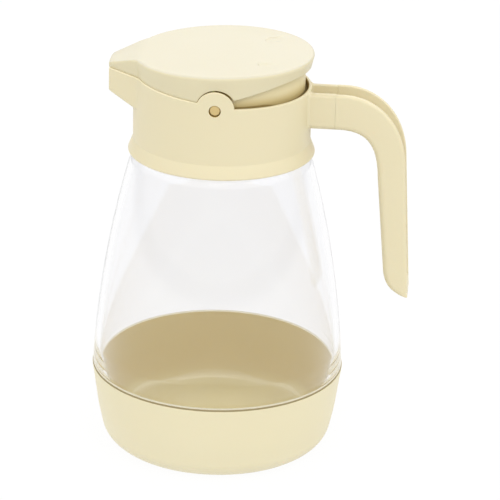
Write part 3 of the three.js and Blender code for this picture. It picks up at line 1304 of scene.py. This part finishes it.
@dataclass
class Handle:
    """The handle: an arm that goes on from the collar's stub and bends down into the grip."""

    section: ChannelSection
    stub_section: ChannelSection
    seam_x: float = 58.0
    gap: float = 0.3
    top_z: float = 195.6
    under_z: float = 176.8
    tip: Point = (98.9, 87.9)
    collar_radius: float = 45.4
    root_fillet: float = 1.6
    root_top: float = 195.9
    counts: tuple[int, ...] = (2, 48, 30, 40)
    closing: tuple[int, int] = (34, 14)

    def finger_line(self) -> tuple[Array, list[int]]:
        """Draws the finger side from the seam to the tip: straight, bend, straight and foot.

        Returns:
            Points (x, z), and the numbers of those at which the stretches end.
        """
        under = [(60.0, self.under_z), (74.5, self.under_z), (80.0, 170.0), (80.9, 152.0)]
        end = [(85.5, 103.0), (86.2, 93.0), (91.5, 88.3), self.tip]
        start = np.array([(self.seam_x + self.gap, self.under_z)])
        bend, foot = bezier(under, 60), bezier(end, 60)
        return np.concatenate([start, bend, foot]), [0, 1, 61, 62, 122]

    def outer_line(self) -> tuple[Array, list[int]]:
        """Draws the open side from the seam to the tip: straight, bend and a long straight.

        Returns:
            Points (x, z), and the numbers of those that match the ends on the finger side.
        """
        over = [(62.0, self.top_z), (79.4, self.top_z), (93.7, 181.8), (94.6, 160.0)]
        start = np.array([(self.seam_x + self.gap, self.top_z)])
        share = np.array([0.093, 0.77, 1])[:, None]
        straight = np.array(over[-1]) * (1 - share) + np.array(self.tip) * share
        return np.concatenate([start, bezier(over, 60), straight]), [0, 1, 62, 63, 64]

    def stations(self) -> tuple[Array, Array]:
        """Works out matching points on both sides, evenly spaced on each stretch.

        Returns:
            Points of the finger side and of the open side, as (x, z).
        """
        marks = np.concatenate([[0], np.cumsum(self.counts)])
        steps = np.arange(marks[-1] + 1)
        sides = []
        for line, ends in (self.finger_line(), self.outer_line()):
            walked = np.concatenate([[0], np.cumsum(np.hypot(*np.diff(line, axis=0).T))])
            at = np.interp(steps, marks, walked[ends])
            sides.append(np.stack([np.interp(at, walked, line[:, k]) for k in (0, 1)], axis=1))
        return sides[0], sides[1]

    def grip(self, finish: bpy.types.Material) -> None:
        """Builds the handle from the seam to the tip by carrying the section along both lines.

        Towards the tip the channel's floor comes up to its edges, so that the tip is solid.

        Args:
            finish: the handle's material.
        """
        finger, outer = self.stations()
        finger, outer = finger[:-1], outer[:-1]
        across = outer - finger
        depth = np.hypot(*across.T)
        unit = across / depth[:, None]
        steps = len(depth)
        first, last = self.closing
        close = smooth_step(np.arange(steps), steps - first, steps - last)
        web = self.section.web + close * np.maximum(depth - self.section.web, 0)
        web = np.minimum(web, depth)
        loops = self.section.loops(depth, web, np.zeros(steps))
        flat = np.zeros(loops.shape[:2] + (1,))
        middle = finger[:, None, :] + loops[..., 1:] * unit[:, None, :]
        points = np.concatenate([middle[..., :1], loops[..., :1] + flat, middle[..., 1:]], axis=-1)
        shell = Shell()
        shell.bar(points)
        shell.piece("handle_grip", finish, Body.JUG, "handle")

    def stub(self, finish: bpy.types.Material) -> None:
        """Builds the collar's stub, with a fillet where it leaves the ring.

        At a distance d from the ring, under the fillet's radius f, the outline stands out by
        f - sqrt(f^2 - (f - d)^2).

        Args:
            finish: the collar's material.
        """
        reach = np.concatenate([[-0.6, 0.0], self.root_fillet * np.linspace(0.02, 1, 9) ** 1.5])
        f = self.root_fillet
        grow = f - np.sqrt(np.maximum(f * f - (f - np.clip(reach, 0, f)) ** 2, 0))
        depth = np.full(len(reach) + 2, self.top_z - self.under_z)
        grow = np.append(grow, [0, 0])
        section = self.stub_section
        loops = section.loops(depth, np.full(len(depth), section.web), grow)
        y, z = loops[..., 0], np.minimum(loops[..., 1] + self.under_z, self.root_top)
        wall = np.sqrt(self.collar_radius**2 - y**2)
        x = wall + np.append(reach, [0, 0])[:, None]
        x[-2:] = np.array([[self.seam_x - 1.0], [self.seam_x + self.gap - 0.06]])
        points = np.stack([x, y, z], axis=-1)
        shell = Shell()
        shell.bar(points)
        shell.piece("collar_stub", finish, Body.JUG, "collar")


@dataclass
class Lid:
    """The rocking lid: plate, skirt and spout cover, the plug ring below and two pivot studs."""

    wedge: Wedge
    pivot: Pivot
    split: SplitLine
    radius: float = 45.7
    top_z: float = 213.35
    tilt: float = 0.028
    highest: float = 213.98
    plate: float = 2.8
    edge_round: float = 1.7
    cover_edge_round: float = 0.9
    handle_edge_round: float = 1.3
    skirt_wall: float = 2.1
    skirt_round: float = 0.3
    skirt_draft: float = 1.1
    overhang: float = 0.5
    cover_tip_z: float = 206.6
    cover_slope: float = 0.36
    cover_crown: float = 1.0
    cover_band: float = 0.9
    crease_band: float = 0.7
    plug: float = 42.0
    plug_wall: float = 2.2
    plug_low_z: float = 190.5
    # height below which the plug ring's foot gets painted deeper shade
    shade_z: float = 197.3
    pad_x: float = 19.5
    pad_end: float = 31.0
    pad_half: float = 23.6
    pad_spread: float = 0.5
    pad_corner: float = 1.6
    pad_depth: float = 0.7
    tip_turn: Point = (6.5, 9.0)
    crown_x: Point = (41.0, 55.0)
    cover_spread: float = 0.76
    # height above which faces inside the plug ring also get the painted sheen
    roof_z: float = 205.0

    def plan(self, bearing: Array, inset: float = 0.0) -> Array:
        """Radius of the skirt and the spout cover together, a little longer towards the handle.

        Args:
            bearing: bearings of the points.
            inset: how far the outline stands inside the outer one.
        Returns:
            The larger of both radii, with a soft crease between them.
        """
        spout = self.wedge.plan(bearing, inset)
        skirt = self.radius - inset + self.overhang * smooth_step(-np.cos(bearing), 0.2, 0.8)
        return smooth_max(skirt, spout, self.crease_band)

    def draft(self, bearing: Array) -> Array:
        """How far the skirt's lower edge is set back: by nothing at the spout's blunt tip."""
        return self.skirt_draft * smooth_step(off_spout(bearing), *np.radians(self.tip_turn))

    def top(self, radius: Array, bearing: Array) -> Array:
        """Height of the lid's upper surface.

        The lower of the tilted plate, top_z + x tan(tilt), which levels off towards the
        handle, and the cover's sloping roof, with a crown across it, less the thumb pad's scoop.

        Args:
            radius: radii of the points.
            bearing: their bearings.
        Returns:
            Their heights.
        """
        x, y = -radius * np.cos(bearing), -radius * np.sin(bearing)
        plate = smooth_min(self.top_z + np.tan(self.tilt) * x, np.array(self.highest), 0.5)
        out = self.wedge.tip + x
        across = np.clip(np.abs(y) / (self.wedge.tip_half + self.cover_spread * out), 0, 1)
        crown = self.cover_crown * (1 - across**2) * smooth_step(-x, *self.crown_x)
        roof = self.cover_tip_z + self.cover_slope * out + crown
        return smooth_min(plate, roof, self.cover_band) - self.scoop(x, y)

    def scoop(self, x: Array, y: Array) -> Array:
        """Depth of the thumb pad: crisp at its front corners, fading out towards rim and middle.

        The distance inside the outline is the smaller of those to the front and to the
        flank, rounded at the corner, and the depth steps in over 0.8 mm of it.

        Args:
            x: places towards the handle.
            y: places across.
        Returns:
            The depth at each place.
        """
        flank = self.pad_half + self.pad_spread * (x - self.pad_x) - np.abs(y)
        inside = smooth_min(x - self.pad_x, flank, 2 * self.pad_corner)
        fade = 1 - smooth_step(x, self.pad_x + 3, self.pad_end)
        fade = fade * smooth_step(np.abs(y), self.pad_half - 6, self.pad_half - 3)
        return self.pad_depth * smooth_step(inside, -0.3, 0.5) * fade

    def build(self, ivories: Ivories) -> None:
        """Builds the whole lid but the studs as one surface, from pole to pole.

        Args:
            ivories: the ivory materials.
        """
        bearing, height = self.split.edge(self.wedge)
        inner_r = self.plan(bearing, self.skirt_wall)
        outer_r = self.plan(bearing)
        bare = self.plug - self.plug_wall
        middles = np.linspace(0, bare - 0.5, 8)
        rims = [self.plug + 0.3 + (inner_r - self.plug - 0.6) * s for s in np.linspace(0, 1, 6)]
        rows = [around(r, bearing, self.underside(r, bearing)) for r in middles]
        rows += self.plug_ring(bearing)
        rows += [around(r, bearing, self.underside(r, bearing)) for r in rims]
        rows += self.skirt(bearing, height, inner_r, outer_r)
        rows += self.roof(bearing, outer_r)
        shell = Shell()
        shell.grid(np.stack(rows))
        self.dress(shell.piece("lid_cap", ivories.lid, Body.LID, "lid"), ivories)

    def dress(self, cap: bpy.types.Object, ivories: Ivories) -> None:
        """Paints sheen on the upper side and shade on the plug ring, along the arcs' gaps and on the
        foot.

        Args:
            cap: the lid without its studs.
            ivories: the ivory materials.
        """
        middle, way = face_frame(cap)
        radius = np.hypot(*middle[:, :2].T)
        # painted sheen: the upper side, paler and greyer than the skirt
        inner = (way[:, 2] > 0) & (radius < self.plug) & (middle[:, 2] > self.roof_z)
        above = (way[:, 2] > 0.6) | inner
        paint(cap, ivories.roof, above)
        # painted shade: the plug ring and underside, darker towards the foot
        paint(cap, ivories.plug, (radius < self.plug + 0.5) & ~above)
        # painted shade: faces along the arcs' gaps and the plug ring's foot by the pivot
        off = middle[:, [0, 2]] - np.array([self.pivot.x, self.pivot.z])
        away = np.hypot(*off.T)
        toward = -(off * way[:, [0, 2]]).sum(1) / away
        arc = (toward > 0.5) & (away < self.split.boss_radius + 1.2) & (radius > self.plug + 1)
        foot = (np.abs(radius - self.plug) < 0.5) & (middle[:, 0] > self.pivot.x)
        paint(cap, ivories.seam, arc | (foot & (away < 10)))
        # painted deeper shade on the plug ring's foot behind the pivot
        paint(cap, ivories.shade, foot & (away >= 10) & (middle[:, 2] < self.shade_z))

    def underside(self, radius: Array | float, bearing: Array) -> Array:
        """Height of the plate's underside, which has no scoop."""
        scoop = self.scoop(-radius * np.cos(bearing), -radius * np.sin(bearing))
        return self.top(radius, bearing) + scoop - self.plate

    def painted_shade_line(self, bearing: Array) -> Array:
        """Height up to which the plug ring's foot is painted with the collar's shade."""
        return self.shade_z - 1.7 * smooth_step(-self.plug * np.cos(bearing), 23, 33)

    def plug_ring(self, bearing: Array) -> list[Array]:
        """Rows down the plug ring's inner wall, round its foot and up its outer wall.

        Args:
            bearing: bearings of the points.
        Returns:
            Rows of points, one of them at the edge of the painted shade on the foot.
        """
        inner, outer, low = self.plug - self.plug_wall, self.plug, self.plug_low_z
        plate_z = self.top(inner, bearing) - self.plate
        foot = [(inner, low + 2, 0), (inner, low, 0.5), (outer, low, 0.9), (outer, low + 2, 0)]
        section = [
            (inner, plate_z - 0.4),
            (inner, plate_z - 3),
            *profile(foot),
            (outer, self.painted_shade_line(bearing)),
            (outer, plate_z - 3),
            (outer, plate_z - 0.4),
        ]
        return [around(radius, bearing, level) for radius, level in section]

    def skirt(self, bearing: Array, height: Array, inner_r: Array, outer_r: Array) -> list[Array]:
        """Rows down the skirt's inner wall, round its lower edge and up the outer wall.

        Args:
            bearing: bearings along the lower edge.
            height: heights along it.
            inner_r: radii of the inner wall.
            outer_r: radii of the outer wall.
        Returns:
            Rows of points.
        """
        turn = np.linspace(0, np.pi / 2, 4)
        up = self.skirt_round * (1 - np.sin(turn))
        b_edge, z_edge = self.split.inset(bearing, height, -up)
        aside = self.skirt_round * (1 - np.cos(turn))[:, None]
        under = self.underside(inner_r, bearing)
        rows = [around(inner_r, bearing, under - 0.3)]
        for share in (0.3, 0.6):
            level = under + (z_edge[0] - under) * share
            rows.append(around(inner_r, bearing + share * (b_edge[0] - bearing), level))
        inner_edge = self.plan(b_edge, self.skirt_wall) + aside
        rows.extend(around(inner_edge, b_edge, z_edge))
        outer_edge = self.plan(b_edge) - self.draft(b_edge) - aside
        rows.extend(around(outer_edge, b_edge, z_edge)[::-1])
        top = self.top(outer_r, bearing) - self.rounding(bearing)
        for share in (0.15, 0.4, 0.7):
            level = z_edge[0] + (top - z_edge[0]) * share
            at = b_edge[0] + share * (bearing - b_edge[0])
            rows.append(around(self.plan(at) - self.draft(at) * (1 - share), at, level))
        return rows

    def rounding(self, bearing: Array) -> Array:
        """Radius of the upper edge: tighter along the spout cover and at the handle.

        Args:
            bearing: bearings along the edge.
        Returns:
            The radius at each of them.
        """
        aside = np.degrees(off_spout(bearing))
        cover = (self.edge_round - self.cover_edge_round) * smooth_step(-aside, -27, -19)
        handle = (self.edge_round - self.handle_edge_round) * smooth_step(aside, 120, 160)
        return self.edge_round - cover - handle

    def roof(self, bearing: Array, outer_r: Array) -> list[Array]:
        """Rows over the upper edge and in to the middle of the plate.

        Args:
            bearing: bearings of the points.
            outer_r: radii of the skirt's outer wall.
        Returns:
            Rows of points.
        """
        edge = self.rounding(bearing)
        rows = []
        for turn in np.linspace(0, np.pi / 2, 8):
            radius = outer_r - edge * (1 - np.cos(turn))
            level = self.top(radius, bearing) - edge * (1 - np.sin(turn))
            rows.append(around(radius, bearing, level))
        flat = outer_r - edge
        for share in np.concatenate([np.linspace(0.985, 0.4, 80), np.linspace(0.38, 0, 8)]):
            radius = flat * share
            rows.append(around(radius, bearing, self.top(radius, bearing)))
        return rows

    def studs(self, finish: bpy.types.Material) -> None:
        """Builds the two studs: short round bars along Y with a rounded, slightly hollow end.

        Args:
            finish: their material, painted darker as the shade in the pin holes.
        """
        r, end, start = self.pivot.stud_radius, self.pivot.stud_end, self.plug - 1
        outline = profile([(0, start, 0), (r, start, 0), (r, end, 0.4), (0, end - 0.25, 0)])
        angle = full_circle(48)
        shell = Shell()
        for side in (-1, 1):
            radius, along = outline[:, :1], outline[:, 1:] * side
            x = self.pivot.x - side * radius * np.cos(angle)
            z = self.pivot.z + self.pivot.stud_lift + radius * np.sin(angle)
            y = along + 0 * angle
            shell.grid(np.stack([x, y, z], axis=-1))
        shell.piece("pivot_studs", finish, Body.LID, "lid")


# Studio


@dataclass
class Studio:
    """Floor, soft light and the camera at the photograph's angle.

    The camera was worked out from the photograph's round edges, in a frame of 500 by 500.
    """

    azimuth: float = 5.0
    pitch: float = 21.81
    roll: float = 1.39
    distance: float = 1277.9
    height: float = 616.5
    sideways: float = 15.9
    focal_px: float = 2644.0
    frame_px: float = 500.0
    sensor: float = 36.0
    floor_half: float = 4000.0
    floor_points: int = 41
    floor_drop: float = 0.02
    aim_z: float = 110.0
    light_bounces: int = 14
    dome_light: float = 1.66
    dome_curve: tuple[Point, ...] = (
        (0.0, 0.42),
        (0.2, 0.45),
        (0.4, 0.95),
        (0.72, 0.95),
        (0.9, 0.5),
        (1.0, 0.35),
    )

    def camera(self) -> None:
        """Places the camera and makes it the scene's own."""
        a, p, r = np.radians([self.azimuth, self.pitch, self.roll])
        side = np.array([np.cos(a), np.sin(a), 0])
        back = np.array([np.sin(a), -np.cos(a), 0])
        up = np.array([0, 0, 1.0])
        place = back * self.distance + up * self.height + side * self.sideways
        ahead = -back * np.cos(p) - up * np.sin(p)
        right = np.cross(ahead, up)
        right = right / np.linalg.norm(right)
        upward = np.cross(right, ahead)
        axes = np.stack(
            [
                right * np.cos(r) + upward * np.sin(r),
                -right * np.sin(r) + upward * np.cos(r),
                -ahead,
            ],
            axis=1,
        )
        lens = bpy.data.cameras.new("photo_camera")
        lens.sensor_width = self.sensor
        lens.lens = self.focal_px * self.sensor / self.frame_px
        lens.clip_start, lens.clip_end = 0.05, 50
        thing = new_object("photo_camera", lens)
        turn = Matrix(axes.tolist()).to_4x4()
        thing.matrix_world = Matrix.Translation(Vector((place * MM).tolist())) @ turn
        bpy.context.scene.camera = thing

    def floor(self, finish: bpy.types.Material) -> None:
        """Lays the table top, a flat sheet just under the dispenser.

        Args:
            finish: its material.
        """
        line = np.linspace(-1, 1, self.floor_points) ** 3 * self.floor_half
        x, y = np.meshgrid(line, line)
        points = np.stack([x, y, np.full_like(x, -self.floor_drop)], axis=-1)
        shell = Shell()
        shell.grid(points, ring_columns=False)
        thing = new_object("table_top", shell.mesh("table_top"))
        thing.data.materials.append(finish)

    def sky(self) -> None:
        """Lights the set by a white dome: dim at the horizon, brightest half-way up.

        The dim horizon keeps the jar's clear wall from washing out, as a studio's dark walls do.
        """
        world = bpy.data.worlds.new("studio_dome")
        world.use_nodes = True
        tree = world.node_tree
        tree.nodes.clear()
        way = add_node(tree, "ShaderNodeTexCoord").outputs["Generated"]
        split = add_node(tree, "ShaderNodeSeparateXYZ", inputs={0: way})
        rise = add_node(tree, "ShaderNodeFloatCurve", inputs={"Value": split.outputs["Z"]})
        curve = rise.mapping.curves[0]
        for place, (sine, share) in enumerate(self.dome_curve):
            if place < 2:
                curve.points[place].location = (sine, share)
            else:
                curve.points.new(sine, share)
        rise.mapping.update()
        level = add_node(
            tree,
            "ShaderNodeMath",
            {"operation": "MULTIPLY"},
            {0: rise.outputs[0], 1: self.dome_light},
        )
        dome = add_node(
            tree,
            "ShaderNodeBackground",
            inputs={"Color": linear("#FFFFFF"), "Strength": level.outputs[0]},
        )
        add_node(tree, "ShaderNodeOutputWorld", inputs={"Surface": dome.outputs[0]})
        bpy.context.scene.world = world

    def lamp(
        self, name: str, place: tuple[float, float, float], size: tuple[float, float], watts: float
    ) -> None:
        """Hangs a soft box that looks at the dispenser.

        Args:
            name: the lamp's name.
            place: its middle, in millimetres.
            size: its width and height, in millimetres.
            watts: its power.
        """
        light = bpy.data.lights.new(name, "AREA")
        light.shape, light.energy = "RECTANGLE", watts
        light.size, light.size_y = size[0] * MM, size[1] * MM
        thing = new_object(name, light)
        look = Vector((0, 0, self.aim_z)) * MM - Vector(place) * MM
        thing.rotation_euler = look.to_track_quat("-Z", "Y").to_euler()
        thing.location = Vector(place) * MM

    def build(self) -> None:
        """Sets up the studio, with light followed for long enough inside the jar's wall."""
        paths = bpy.context.scene.cycles
        paths.max_bounces = paths.transmission_bounces = paths.glossy_bounces = self.light_bounces
        self.camera()
        self.floor(OpalTable("opal_acrylic_lit_from_below").material())
        self.sky()
        self.lamp("front_box", place=(400, -900, 1400), size=(1800, 1100), watts=5)
        bpy.context.scene.view_settings.view_transform = "Standard"
        bpy.context.scene.view_settings.look = "None"


def main() -> None:
    """Builds the dispenser's pieces in order and then the studio."""
    logging.basicConfig(level=logging.INFO, format="%(message)s")
    ivories = Ivories(
        cup=ivory("cup", "#E0D7B5", "#DED4B0"),
        # painted shade on the cup's inside, with painted light below 15 mm
        core=ivory("cup_inside_painted_shade_and_light", "#C6B47B", "#C2AE73", roughness=0.5, low_colour="#D0C38E"),
        # painted shade on the rim's top
        brim_painted_shade=ivory("cup_rim_top_painted_shade", "#C9C1A4", "#C6BD9E"),
        # painted shadow in the step under the jar's edge
        step=ivory("cup_step_painted_shadow", "#9A8C66", "#93855E", roughness=0.6),
        collar=ivory("collar", "#DDD3B1", "#DBD0AC"),
        # painted highlight on the collar's rim in front
        rim=ivory("collar_rim_painted_highlight", "#E6DCBA", "#E4D9B6"),
        # painted shade in the pin holes and along the arcs' gaps
        seam=ivory("seams_painted_shade", "#B59B5A", "#AF9454", roughness=0.6),
        # painted deeper shade behind the pivot and on the plug ring's foot
        shade=ivory("deep_painted_shade", "#A08A54", "#98824C", roughness=0.6),
        handle=ivory("handle", "#DDD3B1", "#DBD0AC"),
        lid=ivory("lid", "#D7CEAD", "#D5CBA8"),
        # painted sheen on the lid's upper side
        roof=ivory("lid_upper_side_painted_sheen", "#D4CEB8", "#D2CBB3"),
        # painted shade: a deeper copy, darker still low down on the plug ring
        plug=ivory(
            "plug_ring",
            "#DDD0A6",
            "#DACC9F",
            roughness=0.5,
            low_colour="#C6B27A",
            low_mm=(196.8, 202.5),
        ),
        # painted shade on the studs, which lie in the pin holes
        stud=ivory("stud", "#CDB67F", "#C6AC6E", roughness=0.5),
    )
    cup = BaseCup()
    cup.build(ivories)
    ClearJar().build(cup, ClearPolycarbonate("blown_polycarbonate_clear").material())
    wedge, pivot = Wedge(), Pivot()
    collar_split = SplitLine(
        front_z=199.0,
        front_slope=0.085,
        back_z=197.3,
        back_slope=-0.02,
        boss_radius=9.8,
        wall_radius=45.4,
    )
    lid_split = SplitLine(
        front_z=199.06,
        front_slope=0.085,
        back_z=199.0,
        back_slope=0.248,
        boss_radius=10.35,
        wall_radius=45.7,
        shift=0.5,
        droop=0.008,
    )
    collar = Collar(wedge, pivot, collar_split)
    collar.ring(ivories)
    handle = Handle(ChannelSection(), ChannelSection(channel_half=6.1))
    handle.stub(ivories.collar)
    handle.grip(ivories.handle)
    lid = Lid(wedge, pivot, lid_split)
    lid.build(ivories)
    lid.studs(ivories.stud)
    Studio().build()


if __name__ == "__main__":
    main()
